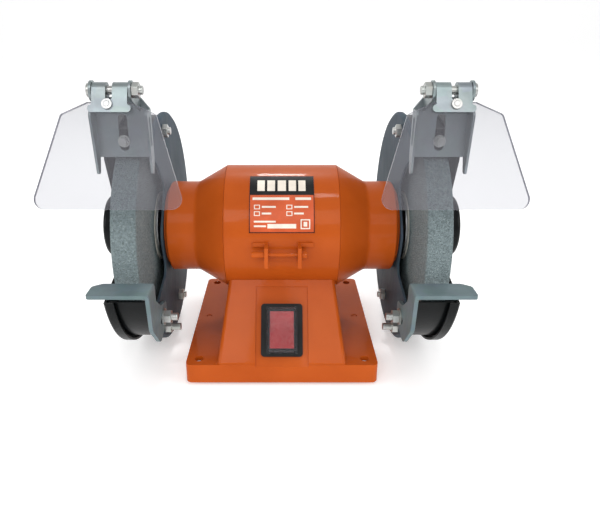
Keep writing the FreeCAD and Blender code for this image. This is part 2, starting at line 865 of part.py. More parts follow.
def build_wheel_set(label, side):
    inner_face = "wheel_inner - blotter"
    outer_face = "wheel_inner + wheel_width + blotter"
    flange = new_body(label + "_inner_flange")
    turned(
        flange,
        sided(
            [
                ("shaft_step_x + 0.02", "shaft_radius + 0.02"),
                (inner_face, "shaft_radius + 0.02"),
                (inner_face, "11"),
                (inner_face + " - 0.8", "12"),
                (inner_face + " - 0.8", "18"),
                (inner_face, "19"),
                (inner_face, "flange_radius"),
                (inner_face + " - 1.6", "flange_radius"),
                (inner_face + " - 2.4", "12.5"),
                ("shaft_step_x + 0.02", "10"),
            ],
            side,
        ),
    )
    piece(flange, label + "_inner_flange")
    outer = new_body(label + "_outer_flange")
    turned(
        outer,
        sided(
            [
                (outer_face, "shaft_radius + 0.02"),
                (outer_face + " + outer_flange_width", "shaft_radius + 0.02"),
                (outer_face + " + outer_flange_width", "13"),
                (outer_face + " + 1.6", "outer_flange_radius"),
                (outer_face, "outer_flange_radius"),
                (outer_face, "16"),
                (outer_face + " + 0.8", "15"),
                (outer_face + " + 0.8", "11"),
                (outer_face, "10"),
            ],
            side,
        ),
    )
    piece(outer, label + "_outer_flange")
    wheel = new_body(label + "_wheel")
    turned(
        wheel,
        sided(
            [
                ("wheel_inner", "shaft_radius + 0.03"),
                ("wheel_inner + wheel_width", "shaft_radius + 0.03"),
                ("wheel_inner + wheel_width", "wheel_radius - 0.8"),
                ("wheel_inner + wheel_width - 0.8", "wheel_radius"),
                ("wheel_inner + 0.8", "wheel_radius"),
                ("wheel_inner", "wheel_radius - 0.8"),
            ],
            side,
        ),
    )
    piece(wheel, label + "_wheel")
    start = outer_face + " + outer_flange_width + 0.02"
    nut = hexagon(label + "_nut", start, "nut_height", "19", side=side)
    hole = rod(label + "_nut_hole", start + " - 1", "nut_height + 2", "shaft_radius + 0.02", side=side)
    piece(cut(label + "_wheel_nut", nut, hole), label + "_wheel_nut")


def build_blotters():
    discs = []
    for label, side in SIDES:
        for start, radius in (
            ("wheel_inner - blotter", "flange_radius + 2"),
            ("wheel_inner + wheel_width", "outer_flange_radius + 2"),
        ):
            disc = rod("blotter_disc", start, "blotter", radius, side=side)
            hole = rod("blotter_hole", start + " - 1", "3", "shaft_radius + 0.2", side=side)
            discs.append(cut("blotter", disc, hole))
    piece(group("wheel_blotters", discs), "wheel_blotters")


# ---- wheel guards -------------------------------------------------------------------


def build_guard(label, side):
    reach = "guard_radius + 12"
    guard = new_body(label + "_inner_guard")
    face = "spigot_end + 0.05"
    turned(
        guard,
        sided(
            [
                (face, "12"),
                (face + " + sheet", "12"),
                (face + " + sheet", "guard_radius - 1.6"),
                (face + " + sheet + 1.5", "guard_radius - 1.5"),
                (face + " + sheet + 1.5", "guard_radius"),
                (face + " + sheet", "guard_radius"),
                (face, "guard_radius - 2.2", "1"),
            ],
            side,
        ),
    )
    front = sketch_on(guard, "YZ_Plane", "%d * 105" % side)
    outline(
        front,
        [
            ("-11", "33", "8"),
            ("-30", "53"),
            ("-bracket_y + 0.6", "62"),
            ("-bracket_y + 0.6", reach),
            ("-(%s)" % reach, reach),
            ("-(%s)" % reach, "-36"),
            ("-76", "-36"),
            ("-61", "-33"),
            ("-26", "-25", "8"),
            ("-34", "4", "14"),
        ],
    )
    pocket(guard, front, "30", -side)
    screw_holes = sketch_on(guard, "YZ_Plane", "%d * 105" % side)
    for y, z in GUARD_SCREWS:
        circle(screw_holes, y, z, "2.3")
    for y, z in GUARD_STUDS + (REST_BOLT, PLATE_BOLT):
        circle(screw_holes, y, z, "2.7")
    pocket(guard, screw_holes, "30", -side)
    piece(guard, label + "_inner_guard")

    band = new_body(label + "_guard_band")
    start = "spigot_end + sheet + 0.1"
    turned(
        band,
        sided(
            [
                (start, "band_radius - sheet"),
                ("cover_inner - 0.05", "band_radius - sheet"),
                ("cover_inner - 0.05", "band_radius"),
                (start, "band_radius"),
            ],
            side,
        ),
    )
    opening = sketch_on(band, "YZ_Plane", "%d * 130" % side)
    outline(
        opening,
        [
            ("0", "0"),
            ("-bracket_y + 0.1", "65.6"),
            ("-bracket_y + 0.1", reach),
            ("-(%s)" % reach, reach),
            ("-(%s)" % reach, "-24"),
            ("-70", "-24"),
        ],
    )
    pocket(band, opening, "60", -side)
    tab = sketch_on(band, "YZ_Plane", "%d * (shield_centre - 8)" % side)
    outline(
        tab,
        [
            ("-bracket_y + 0.1", "64.5"),
            ("-bracket_y + 1.6", "64.5"),
            ("-bracket_y + 1.6", "80"),
            ("-bracket_y + 0.1", "80"),
        ],
    )
    pad(band, tab, "16", side)
    for y, z in COVER_SCREWS:
        clip = sketch_on(band, "YZ_Plane", "%d * (cover_inner - 1.55)" % side)
        rectangle(clip, y + " - 5", z + " - 5", y + " + 5", z + " + 5", "2")
        pad(band, clip, "sheet", side)
    holes = sketch_on(band, "YZ_Plane", "%d * 130" % side)
    for y, z in COVER_SCREWS:
        circle(holes, y, z, "1.9")
    pocket(band, holes, "25", -side)
    slot_hole = rod(label + "_tab_hole", "0", "10", "2.6")
    put(slot_hole, mirrored("shield_centre", side), "-bracket_y - 4", "slot_bolt_height", ((1, 0, 0), -90))
    piece(cut(label + "_guard_band", band, slot_hole), label + "_guard_band")


def build_cover(label, side):
    cover = new_body(label + "_outer_cover")
    face = "cover_inner"
    turned(
        cover,
        sided(
            [
                (face, "boss_radius - sheet"),
                ("boss_end - sheet", "boss_radius - sheet - 2"),
                ("boss_end - sheet", "0"),
                ("boss_end", "0"),
                ("boss_end", "boss_radius - 2", "3"),
                (face + " + sheet", "boss_radius", "2"),
                (face + " + sheet", "cover_radius", "1.4"),
                ("cover_inner - 5", "cover_radius"),
                ("cover_inner - 5", "cover_radius - sheet"),
                (face, "cover_radius - sheet"),
            ],
            side,
        ),
    )
    reach = "guard_radius + 12"
    front = sketch_on(cover, "YZ_Plane", "%d * 140" % side)
    outline(
        front,
        [
            ("-bracket_y + 0.6", "60", "3"),
            ("-bracket_y + 0.6", reach),
            ("-(%s)" % reach, reach),
            ("-(%s)" % reach, "-23"),
            ("-78", "-23"),
            ("-30", "-12", "6"),
            ("-28", "12", "6"),
        ],
    )
    pocket(cover, front, "60", -side)
    holes = sketch_on(cover, "YZ_Plane", "%d * 140" % side)
    for y, z in COVER_SCREWS:
        circle(holes, y, z, "2.1")
    pocket(cover, holes, "60", -side)
    piece(cover, label + "_outer_cover")


def build_guard_screws(label, side):
    """Screws of the guard: three into the motor, three that hold the outer cover."""
    screws = []
    for y, z in GUARD_SCREWS:
        head = rod("guard_screw_head", "spigot_end + sheet + 0.1", "2.2", "4", y, z, side)
        shank = rod("guard_screw_shank", "spigot_end - 4.8", "7", "2", y, z, side)
        screws.append(fuse("guard_screw", [head, shank]))
    for y, z in COVER_SCREWS:
        head = rod("cover_screw_head", "cover_inner + sheet + 0.05", "2.2", "3.8", y, z, side)
        shank = rod("cover_screw_shank", "cover_inner - 2.6", "4.5", "1.85", y, z, side)
        screws.append(fuse("cover_screw", [head, shank]))
    for y, z in GUARD_STUDS:
        nut = hexagon("stud_nut", "spigot_end - 3.6", "3.6", "stud_nut_flats", y, z, side)
        shank = rod("stud_shank", "spigot_end - 5.5", "8.5", "stud_radius", y, z, side)
        head = rod("stud_head", "spigot_end + sheet + 0.1", "1.6", "4", y, z, side)
        screws.append(fuse("guard_stud", [nut, shank, head]))
    piece(group(label + "_guard_screws", screws), label + "_guard_screws")


# ---- tool rests ---------------------------------------------------------------------


def build_rest(label, side):
    rest = new_body(label + "_tool_rest")
    table = sketch_on(rest, "XY_Plane", "-rest_top")
    outline(
        table,
        sided(
            [
                ("rest_inner", "-rest_rear"),
                ("rest_inner", "-rest_front"),
                ("rest_outer", "-rest_front", "2"),
                ("rest_outer", "-rest_rear - 4", "3"),
                ("rest_outer - 6", "-rest_rear", "3"),
            ],
            side,
        ),
    )
    pad(rest, table, "rest_thickness", -1)
    flange = sketch_on(rest, "YZ_Plane", "%d * rest_inner" % side)
    outline(
        flange,
        [
            ("-rest_front", "-rest_top"),
            ("-92", "-36", "8"),
            ("-74", "-55", "8"),
            ("-50", "-50", "4"),
            ("-50", "-36", "4"),
            ("-66", "-32", "5"),
            ("-rest_rear", "-22", "4"),
            ("-rest_rear", "-rest_top"),
        ],
    )
    pad(rest, flange, "rest_thickness", side)
    slot = sketch_on(rest, "YZ_Plane", "%d * (rest_inner - 5)" % side)
    outline(
        slot,
        [
            ("-69.5", "-44.7", "2.69"),
            ("-54.5", "-44.7", "2.69"),
            ("-54.5", "-39.3", "2.69"),
            ("-69.5", "-39.3", "2.69"),
        ],
    )
    pocket(rest, slot, "12", side)
    fold = amount("rest_inner") * side
    round_edges(rest, "rest_fold", "1.8", lambda box: along_y_at(box, fold, -amount("rest_top")))
    piece(rest, label + "_tool_rest")

    y, z = REST_BOLT
    bolts = [
        rod("rest_bolt", "69", "15.2", "stud_radius", y, z, side),
        rod("rest_bolt_washer", "77.4", "1.2", "5.5", y, z, side),
        hexagon("rest_bolt_nut", "73.2", "4.1", "stud_nut_flats", y, z, side),
        rod("rest_bolt_head", "spigot_end + sheet + 0.1", "1.9", "3.1", y, z, side),
    ]
    y, z = PLATE_BOLT
    second = [
        rod("plate_bolt", "71", "14", "stud_radius", y, z, side),
        hexagon("plate_bolt_nut", "77.4", "4", "stud_nut_flats", y, z, side),
        rod("plate_bolt_head", "spigot_end + sheet + 0.1", "1.9", "3.4", y, z, side),
    ]
    assembled = group(
        label + "_rest_bolts",
        [fuse(label + "_rest_bolt", bolts), fuse(label + "_plate_bolt", second)],
    )
    piece(assembled, label + "_rest_bolts")


# ---- eye shields --------------------------------------------------------------------


def build_bracket(label, side):
    left = "shield_centre - bracket_half"
    right = "shield_centre + bracket_half"
    back = "-bracket_y"
    bracket = new_body(label + "_shield_bracket")
    face = sketch_on(bracket, "XZ_Plane", "bracket_y")
    outline(
        face,
        sided(
            [
                (left, "bracket_bottom"),
                (right, "bracket_bottom"),
                (right, "bracket_shoulder", "3"),
                ("shield_centre + 13", "bracket_top"),
                ("shield_centre - 12", "bracket_top"),
                (left, "bracket_shoulder", "3"),
            ],
            side,
        ),
    )
    pad(bracket, face, "sheet", 1)
    cheek = [
        (back, "bracket_bottom"),
        (back, "bracket_shoulder"),
        (back + " - 11", "bracket_shoulder", "3"),
        (back + " - 6.8", "52", "2"),
        (back + " - 3.2", "53", "1"),
    ]
    for start in (left, right + " - sheet"):
        wing = sketch_on(bracket, "YZ_Plane", "%d * (%s)" % (side, start))
        outline(wing, cheek)
        pad(bracket, wing, "sheet", side)
    ear = [
        (back, "90"),
        (back, "bracket_top"),
        ("-hinge_y - 4", "hinge_z + 9.5", "5"),
        ("-hinge_y - 5.5", "hinge_z - 4.5", "5"),
    ]
    for start in ("shield_centre - 12", "shield_centre + 10.3"):
        lug = sketch_on(bracket, "YZ_Plane", "%d * (%s)" % (side, start))
        outline(lug, ear)
        pad(bracket, lug, "sheet", side)
    pin_hole = sketch_on(bracket, "YZ_Plane", "%d * 140" % side)
    circle(pin_hole, "-hinge_y", "hinge_z", "pin_radius + 0.05")
    pocket(bracket, pin_hole, "70", -side)
    slot = sketch_on(bracket, "XZ_Plane", "bracket_y + 5")
    outline(
        slot,
        sided(
            [
                ("shield_centre - 2.9", "66.5", "2.8"),
                ("shield_centre + 2.9", "66.5", "2.8"),
                ("shield_centre + 2.9", "89", "2.8"),
                ("shield_centre - 2.9", "89", "2.8"),
            ],
            side,
        ),
    )
    pocket(bracket, slot, "10", -1)
    side_slot = sketch_on(bracket, "YZ_Plane", "%d * (shield_centre - bracket_half - 3)" % side)
    outline(
        side_slot,
        [
            (back + " - 2.8", "70", "1.8"),
            (back + " - 6.6", "70", "1.8"),
            (back + " - 7.4", "88", "1.8"),
            (back + " - 3.6", "88", "1.8"),
        ],
    )
    pocket(bracket, side_slot, "8", side)
    piece(bracket, label + "_shield_bracket")

    along = ((1, 0, 0), 90)
    centre = mirrored("shield_centre", side)
    shank = primitive("Cylinder", label + "_slot_bolt", Radius="2.4", Height="11")
    put(shank, centre, "-bracket_y + 5", "slot_bolt_height", along)
    washer = primitive("Cylinder", label + "_slot_washer", Radius="3.8", Height="0.9")
    put(washer, centre, "-bracket_y - sheet - 0.1", "slot_bolt_height", along)
    head = primitive("Prism", label + "_slot_head", Circumradius="3.1", Height="2.4")
    head.Polygon = 6
    put(head, centre, "-bracket_y - sheet - 0.9", "slot_bolt_height", along)
    nut = primitive("Prism", label + "_slot_nut", Circumradius="3.6", Height="2.9")
    nut.Polygon = 6
    put(nut, centre, "-bracket_y + 4.6", "slot_bolt_height", along)
    bolts = fuse(label + "_bracket_bolts", [shank, washer, head, nut])
    piece(bolts, label + "_bracket_bolts")


def build_shield(label, side):
    """The clear shield with its hinge leaf, both in the leaf's own leaning frame."""
    centre = "shield_centre + pane_offset"
    leaf = new_body(label + "_shield_hinge")
    plate = sketch_on(leaf, "XZ_Plane", "3")
    outline(
        plate,
        sided(
            [
                ("shield_centre - 12.4", "-13.5", "2"),
                ("shield_centre + 12.4", "-13.5", "2"),
                ("shield_centre + 12", "-10"),
                ("shield_centre + 10", "-9"),
                ("shield_centre + 10", "-0.4"),
                ("shield_centre - 10.2", "-0.4"),
                ("shield_centre - 10.2", "-9"),
                ("shield_centre - 12", "-10"),
            ],
            side,
        ),
    )
    pad(leaf, plate, "sheet", 1)
    for start, length in (("shield_centre - 10.2", "8.6"), ("shield_centre + 2.2", "7.8")):
        knuckle = sketch_on(leaf, "YZ_Plane", "%d * (%s)" % (side, start))
        circle(knuckle, "0", "0", "knuckle_radius")
        pad(leaf, knuckle, length, side)
    relief = sketch_on(leaf, "YZ_Plane", "%d * 60" % side)
    circle(relief, "0", "0", "pin_radius + 0.06")
    pocket(leaf, relief, "80", side)
    gap = sketch_on(leaf, "XZ_Plane", "0")
    outline(
        gap,
        sided(
            [
                ("shield_centre - 1.6", "-6.5", "1"),
                ("shield_centre + 2.2", "-6.5", "1"),
                ("shield_centre + 2.2", "6"),
                ("shield_centre - 1.6", "6"),
            ],
            side,
        ),
    )
    pocket(leaf, gap, "8", 1)
    screw_hole = sketch_on(leaf, "XZ_Plane", "0")
    circle(screw_hole, mirrored(centre, side), "-pane_screw_drop", "1.7")
    pocket(leaf, screw_hole, "8", 1)
    on_hinge(leaf, label + "_shield_hinge")

    pane = new_body(label + "_eye_shield")
    sheet_outline = sketch_on(pane, "XZ_Plane", "0.4")
    outline(
        sheet_outline,
        sided(
            [
                ("%s - 9.5" % centre, "-5.2"),
                ("%s + 8.3" % centre, "-5.2"),
                ("%s + 8.3" % centre, "-7.5"),
                ("%s + 12" % centre, "-7.5"),
                ("%s + 27" % centre, "-14.3", "3"),
                ("%s + 41.5" % centre, "-shield_length + 7", "3"),
                ("%s + 41.5" % centre, "-shield_length", "6"),
                ("%s - 41.5" % centre, "-shield_length", "6"),
                ("%s - 41.5" % centre, "-shield_length + 7", "3"),
                ("%s - 27" % centre, "-14.3", "3"),
                ("%s - 12" % centre, "-7.5"),
                ("%s - 9.5" % centre, "-7.5"),
            ],
            side,
        ),
    )
    pad(pane, sheet_outline, "shield_thickness", 1)
    hole = sketch_on(pane, "XZ_Plane", "0")
    circle(hole, mirrored(centre, side), "-pane_screw_drop", "1.7")
    pocket(pane, hole, "8", 1)
    on_hinge(pane, label + "_eye_shield")

    across = ((1, 0, 0), 90)
    shank = primitive("Cylinder", label + "_pane_screw", Radius="1.6", Height="8")
    put(shank, mirrored(centre, side), "1.6", "-pane_screw_drop", across)
    cap = primitive("Cylinder", label + "_pane_screw_head", Radius="3", Height="1.4")
    put(cap, mirrored(centre, side), "-4.55", "-pane_screw_drop", across)
    lock = primitive("Prism", label + "_pane_screw_nut", Circumradius="3.2", Height="2")
    lock.Polygon = 6
    put(lock, mirrored(centre, side), "1.7", "-pane_screw_drop", across)
    on_hinge(fuse(label + "_shield_screw", [shank, cap, lock]), label + "_shield_screw")

    hinge_side = ((0, 1, 0), 90)
    low = "shield_centre - 18" if side > 0 else "-(shield_centre + 12.5)"
    shank = primitive("Cylinder", label + "_hinge_pin", Radius="pin_radius", Height="30.5")
    put(shank, low, "-hinge_y", "hinge_z", hinge_side)
    head = rod(label + "_pin_head", "shield_centre + 11.9", "1.6", "4", "-hinge_y", "hinge_z", side)
    nut = hexagon(label + "_pin_nut", "shield_centre - 16", "3.9", "8", "-hinge_y", "hinge_z", side)
    piece(fuse(label + "_hinge_bolt", [shank, head, nut]), label + "_hinge_bolt")


def on_hinge(body, name):
    """Leans a body about the hinge pin and names it."""
    body.Label = name
    turn = FreeCAD.Rotation(FreeCAD.Vector(1, 0, 0), -amount("shield_tilt"))
    base = FreeCAD.Vector(0, -amount("hinge_y"), amount("axis_height + hinge_z"))
    body.Placement = FreeCAD.Placement(base, turn)
    body.setExpression(".Placement.Base.y", linked("-hinge_y"))
    body.setExpression(".Placement.Base.z", linked("axis_height + hinge_z"))
    PIECES.append(body)


# ---- assembly -----------------------------------------------------------------------


def check_and_write():
    doc.recompute()
    problems = []
    for thing in doc.Objects:
        if "Invalid" in thing.State or "Error" in thing.State:
            problems.append("%s is %s" % (thing.Name, thing.State))
    for thing in PIECES:
        if thing.Shape.isNull() or not thing.Shape.isValid():
            problems.append("%s has no valid shape" % thing.Label)
        elif not thing.Shape.Solids:
            problems.append("%s has no solid" % thing.Label)
    if problems:
        raise RuntimeError("; ".join(problems))
    os.makedirs("parts", exist_ok=True)
    for thing in PIECES:
        thing.Shape.exportStep("parts/%s.step" % thing.Label)
        print("%-24s %d solid(s) %10.1f" % (thing.Label, len(thing.Shape.Solids), thing.Shape.Volume))
    print(len(PIECES), "pieces")


build_base_assembly()
build_base_fittings()
build_housing()
for label, side in SIDES:
    build_end_shield(label + "_end_shield", side)
build_windings()
build_shaft()
for label, side in SIDES:
    build_bearing(label, side)
build_wave_washer()
build_rating_plate()
build_lug_bracket()
build_blotters()
for label, side in SIDES:
    build_wheel_set(label, side)
    build_guard(label, side)
    build_cover(label, side)
    build_guard_screws(label, side)
    build_rest(label, side)
    build_bracket(label, side)
    build_shield(label, side)
check_and_write()
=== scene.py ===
"""Looks of the bench grinder: materials, printed plate, floor, light and camera."""

import json
import math

import bmesh
import bpy
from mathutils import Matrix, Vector


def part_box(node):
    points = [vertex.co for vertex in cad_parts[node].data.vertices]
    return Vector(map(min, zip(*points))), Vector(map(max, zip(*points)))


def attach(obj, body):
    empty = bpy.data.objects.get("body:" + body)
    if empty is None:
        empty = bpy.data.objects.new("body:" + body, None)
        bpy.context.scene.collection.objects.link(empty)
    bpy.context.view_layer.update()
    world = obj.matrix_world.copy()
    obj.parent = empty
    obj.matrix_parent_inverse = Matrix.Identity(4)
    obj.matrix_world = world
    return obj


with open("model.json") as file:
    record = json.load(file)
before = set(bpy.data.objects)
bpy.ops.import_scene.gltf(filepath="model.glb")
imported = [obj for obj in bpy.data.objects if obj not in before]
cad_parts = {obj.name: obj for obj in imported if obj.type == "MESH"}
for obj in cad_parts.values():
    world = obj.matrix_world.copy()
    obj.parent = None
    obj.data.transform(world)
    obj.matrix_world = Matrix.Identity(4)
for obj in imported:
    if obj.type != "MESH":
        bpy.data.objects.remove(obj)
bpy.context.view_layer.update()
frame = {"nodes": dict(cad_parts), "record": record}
nodes = frame["nodes"]
MM = 0.001


# ---- node helpers -------------------------------------------------------------------


class Paint:
    """One procedural material and short ways to add nodes to it."""

    def __init__(self, name):
        self.material = bpy.data.materials.new(name)
        self.material.use_nodes = True
        self.tree = self.material.node_tree
        self.shader = self.tree.nodes["Principled BSDF"]
        self.place = self.tree.nodes.new("ShaderNodeTexCoord").outputs["Object"]

    def set(self, **values):
        for name, value in values.items():
            self.shader.inputs[name.replace("_", " ")].default_value = value
        return self

    def link(self, source, target):
        self.tree.links.new(source, target)

    def add(self, kind, **inputs):
        node = self.tree.nodes.new("ShaderNode" + kind)
        for name, value in inputs.items():
            socket = node.inputs[name.replace("_", " ")]
            if hasattr(value, "is_output"):
                self.link(value, socket)
            else:
                socket.default_value = value
        return node

    def scaled(self, factors):
        mapping = self.add("Mapping", Vector=self.place, Scale=factors)
        return mapping.outputs["Vector"]

    def noise(self, scale, detail=3.0, roughness=0.55, vector=None):
        node = self.add("TexNoise", Scale=scale, Detail=detail, Roughness=roughness)
        self.link(vector or self.place, node.inputs["Vector"])
        return node.outputs["Fac"]

    def cells(self, scale):
        return self.add("TexVoronoi", Scale=scale, Vector=self.place)

    def ramp(self, factor, stops):
        node = self.add("ValToRGB", Fac=factor)
        ramp = node.color_ramp
        while len(ramp.elements) < len(stops):
            ramp.elements.new(0.5)
        for element, (position, colour) in zip(ramp.elements, stops):
            element.position = position
            element.color = (*colour, 1.0)
        return node.outputs["Color"]

    def mix(self, factor, first, second, blend):
        """Two colour outputs mixed by a fixed factor."""
        node = self.tree.nodes.new("ShaderNodeMix")
        node.data_type = "RGBA"
        node.blend_type = blend
        factor_socket, first_socket, second_socket = (node.inputs[number] for number in (0, 6, 7))
        factor_socket.default_value = factor
        self.link(first, first_socket)
        self.link(second, second_socket)
        return node.outputs[2]

    def spread(self, factor, low, high):
        """The factor, from 0 to 1, spread between two values."""
        node = self.add("MapRange", Value=factor)
        node.inputs["To Min"].default_value = low
        node.inputs["To Max"].default_value = high
        return node.outputs["Result"]

    def bump(self, height, distance, strength=1.0, under=None):
        node = self.add("Bump", Height=height, Distance=distance, Strength=strength)
        if under is not None:
            self.link(under, node.inputs["Normal"])
        return node.outputs["Normal"]

    def colour(self, source):
        self.link(source, self.shader.inputs["Base Color"])

    def rough(self, source):
        self.link(source, self.shader.inputs["Roughness"])

    def normal(self, source):
        self.link(source, self.shader.inputs["Normal"])


# ---- materials ----------------------------------------------------------------------


def enamel(name, dark, light, roughness):
    """Sprayed enamel with orange peel and a slightly uneven gloss."""
    paint = Paint(name)
    paint.colour(paint.ramp(paint.noise(22.0, 4.0), [(0.3, dark), (0.7, light)]))
    paint.rough(paint.spread(paint.noise(60.0, 5.0), roughness - 0.06, roughness + 0.1))
    peel = paint.bump(paint.noise(420.0, 2.0), 0.0006, 0.10)
    paint.normal(paint.bump(paint.noise(38.0, 2.0), 0.002, 0.06, peel))
    paint.set(Coat_Weight=0.14, Coat_Roughness=0.06, Specular_IOR_Level=0.06)
    return paint.material


def zinc_sheet(name, dark, light, roughness=0.38, metal=0.85, gloss=0.5):
    """Zinc-plated sheet: cool grey with faint crystals, rolling lines and scuffs."""
    paint = Paint(name)
    crystals = paint.cells(150.0).outputs["Color"]
    grey = paint.ramp(paint.noise(34.0, 5.0, 0.65), [(0.3, dark), (0.7, light)])
    paint.colour(paint.mix(0.04, grey, crystals, "SOFT_LIGHT"))
    rolled = paint.noise(55.0, 4.0, 0.6, paint.scaled((1.0, 9.0, 1.0)))
    paint.rough(paint.spread(rolled, roughness - 0.12, roughness + 0.16))
    fine = paint.bump(paint.noise(900.0, 2.0), 0.0002, 0.25)
    paint.normal(paint.bump(rolled, 0.0005, 0.12, fine))
    paint.set(Metallic=metal, Specular_IOR_Level=gloss)
    return paint.material


def machined_steel():
    """Turned steel: fine rings about the shaft."""
    paint = Paint("machined_steel")
    rings = paint.noise(500.0, 3.0, 0.6, paint.scaled((8.0, 0.15, 0.15)))
    grey = [(0.3, (0.50, 0.51, 0.52)), (0.7, (0.72, 0.72, 0.71))]
    paint.colour(paint.ramp(paint.noise(80.0, 4.0), grey))
    paint.rough(paint.spread(rings, 0.18, 0.42))
    paint.normal(paint.bump(rings, 0.0004, 0.15))
    paint.set(Metallic=1.0)
    return paint.material


def abrasive():
    """Vitrified grit: grey grains of several sizes, with pores and pale sparkles."""
    paint = Paint("abrasive")
    coarse = paint.cells(1100.0)
    grain_greys = [
        (0.0, (0.13, 0.165, 0.17)),
        (0.35, (0.20, 0.25, 0.26)),
        (0.75, (0.25, 0.31, 0.32)),
        (1.0, (0.34, 0.40, 0.41)),
    ]
    grain = paint.ramp(coarse.outputs["Color"], grain_greys)
    cloud = paint.ramp(paint.noise(45.0, 5.0, 0.7), [(0.3, (0.84, 0.86, 0.86)), (0.7, (1.0, 1.0, 1.0))])
    grain = paint.mix(1.0, grain, cloud, "MULTIPLY")
    pores = paint.ramp(paint.noise(1300.0, 3.0, 0.8), [(0.30, (0.20, 0.22, 0.22)), (0.40, (1, 1, 1))])
    paint.colour(paint.mix(0.6, grain, pores, "MULTIPLY"))
    paint.rough(paint.spread(coarse.outputs["Distance"], 0.72, 0.95))
    fine = paint.bump(paint.noise(1500.0, 4.0, 0.8), 0.0008, 0.7)
    paint.normal(paint.bump(coarse.outputs["Distance"], 0.0010, 0.9, fine))
    return paint.material


def moulded(name, colour, roughness, gloss=0.5):
    """Moulded plastic or rubber with a fine grain."""
    paint = Paint(name)
    lighter = tuple(min(1.0, value * 1.35 + 0.006) for value in colour)
    paint.colour(paint.ramp(paint.noise(70.0, 4.0), [(0.35, colour), (0.75, lighter)]))
    paint.rough(paint.spread(paint.noise(320.0, 3.0), roughness - 0.06, roughness + 0.12))
    paint.normal(paint.bump(paint.noise(1400.0, 2.0), 0.0003, 0.25))
    paint.set(Specular_IOR_Level=gloss)
    return paint.material


def see_through(name, tint, body, clarity, roughness):
    """Clear plastic. Lamps shine through it, and most of what is behind it shows."""
    paint = Paint(name)
    paint.set(Base_Color=(*body, 1.0), IOR=1.49, Specular_IOR_Level=0.5)
    paint.rough(paint.spread(paint.noise(30.0, 4.0), roughness, roughness + 0.08))
    paint.normal(paint.bump(paint.noise(14.0, 2.0), 0.002, 0.05))
    clear = paint.tree.nodes.new("ShaderNodeBsdfTransparent")
    clear.inputs["Color"].default_value = (*tint, 1.0)
    rim = paint.add("Fresnel", IOR=1.45)
    haze = paint.spread(rim.outputs["Fac"], 1.0 - clarity, 0.95)
    blend = paint.tree.nodes.new("ShaderNodeMixShader")
    paint.link(haze, blend.inputs[0])
    paint.link(clear.outputs[0], blend.inputs[1])
    paint.link(paint.shader.outputs[0], blend.inputs[2])
    output = paint.tree.nodes["Material Output"]
    paint.link(blend.outputs[0], output.inputs["Surface"])
    return paint.material


def pressed_paper():
    """Blotter paper: warm off-white fibres."""
    paint = Paint("pressed_paper")
    fibres = [(0.3, (0.62, 0.60, 0.53)), (0.7, (0.80, 0.78, 0.70))]
    paint.colour(paint.ramp(paint.noise(300.0, 4.0), fibres))
    paint.normal(paint.bump(paint.noise(700.0, 3.0), 0.0004, 0.4))
    paint.set(Roughness=0.85)
    return paint.material


def laminations():
    """Stacked core sheets, across the shaft."""
    paint = Paint("laminations")
    stack = paint.noise(900.0, 2.0, 0.5, paint.scaled((1.0, 0.01, 0.01)))
    paint.colour(paint.ramp(stack, [(0.35, (0.06, 0.06, 0.07)), (0.6, (0.24, 0.24, 0.26))]))
    paint.normal(paint.bump(stack, 0.0005, 0.5))
    paint.set(Metallic=0.7, Roughness=0.5)
    return paint.material


def wound_copper():
    """Enamelled copper wire."""
    paint = Paint("wound_copper")
    strands = paint.noise(700.0, 3.0, 0.6, paint.scaled((1.0, 0.2, 0.2)))
    paint.colour(paint.ramp(strands, [(0.3, (0.25, 0.07, 0.02)), (0.7, (0.62, 0.26, 0.10))]))
    paint.normal(paint.bump(strands, 0.001, 0.6))
    paint.set(Metallic=0.7, Roughness=0.35)
    return paint.material


ORANGE = enamel("orange_enamel", (0.42, 0.070, 0.006), (0.50, 0.091, 0.010), 0.36)
BLACK = enamel("black_enamel", (0.002, 0.003, 0.003), (0.005, 0.006, 0.007), 0.36)
ZINC = zinc_sheet("zinc_sheet", (0.20, 0.235, 0.245), (0.32, 0.36, 0.37))
# painted shade: a much darker, nearly non-metallic copy of the zinc sheet for the inner guard plates,
# standing in for the shade they sit in between wheel and motor
ZINC_PAINTED_SHADE = zinc_sheet("zinc_sheet_painted_shade", (0.04, 0.062, 0.08), (0.065, 0.09, 0.115), 0.55, 0.10, 0.08)
# painted shade: a darker, nearly non-metallic copy of the zinc sheet for the tool rests, standing in for
# the dark surroundings their plated tops reflect
REST_ZINC_PAINTED_SHADE = zinc_sheet("rest_zinc_painted_shade", (0.10, 0.145, 0.155), (0.15, 0.20, 0.215), 0.48, 0.10, 0.3)
FASTENER = zinc_sheet("zinc_fastener", (0.36, 0.37, 0.36), (0.52, 0.53, 0.51), 0.30)
STEEL = machined_steel()
GRIT = abrasive()
RUBBER = moulded("rubber", (0.012, 0.012, 0.012), 0.7)
BLACK_PLASTIC = moulded("black_plastic", (0.003, 0.003, 0.003), 0.5, 0.22)
RED_PLASTIC = moulded("red_plastic", (0.62, 0.012, 0.014), 0.25)
PLATE_FILM = moulded("plate_film", (0.52, 0.078, 0.016), 0.34, 0.3)
PLATE_BLACK = moulded("plate_black", (0.003, 0.003, 0.003), 0.4, 0.2)
PLATE_INK = moulded("plate_ink", (0.74, 0.67, 0.58), 0.4, 0.3)
SHIELD = see_through("clear_shield", (0.83, 0.832, 0.842), (0.58, 0.58, 0.64), 0.95, 0.10)
BOOT = see_through("clear_boot", (0.90, 0.90, 0.90), (0.36, 0.37, 0.40), 0.955, 0.14)
PAPER = pressed_paper()
CORE = laminations()
COPPER = wound_copper()

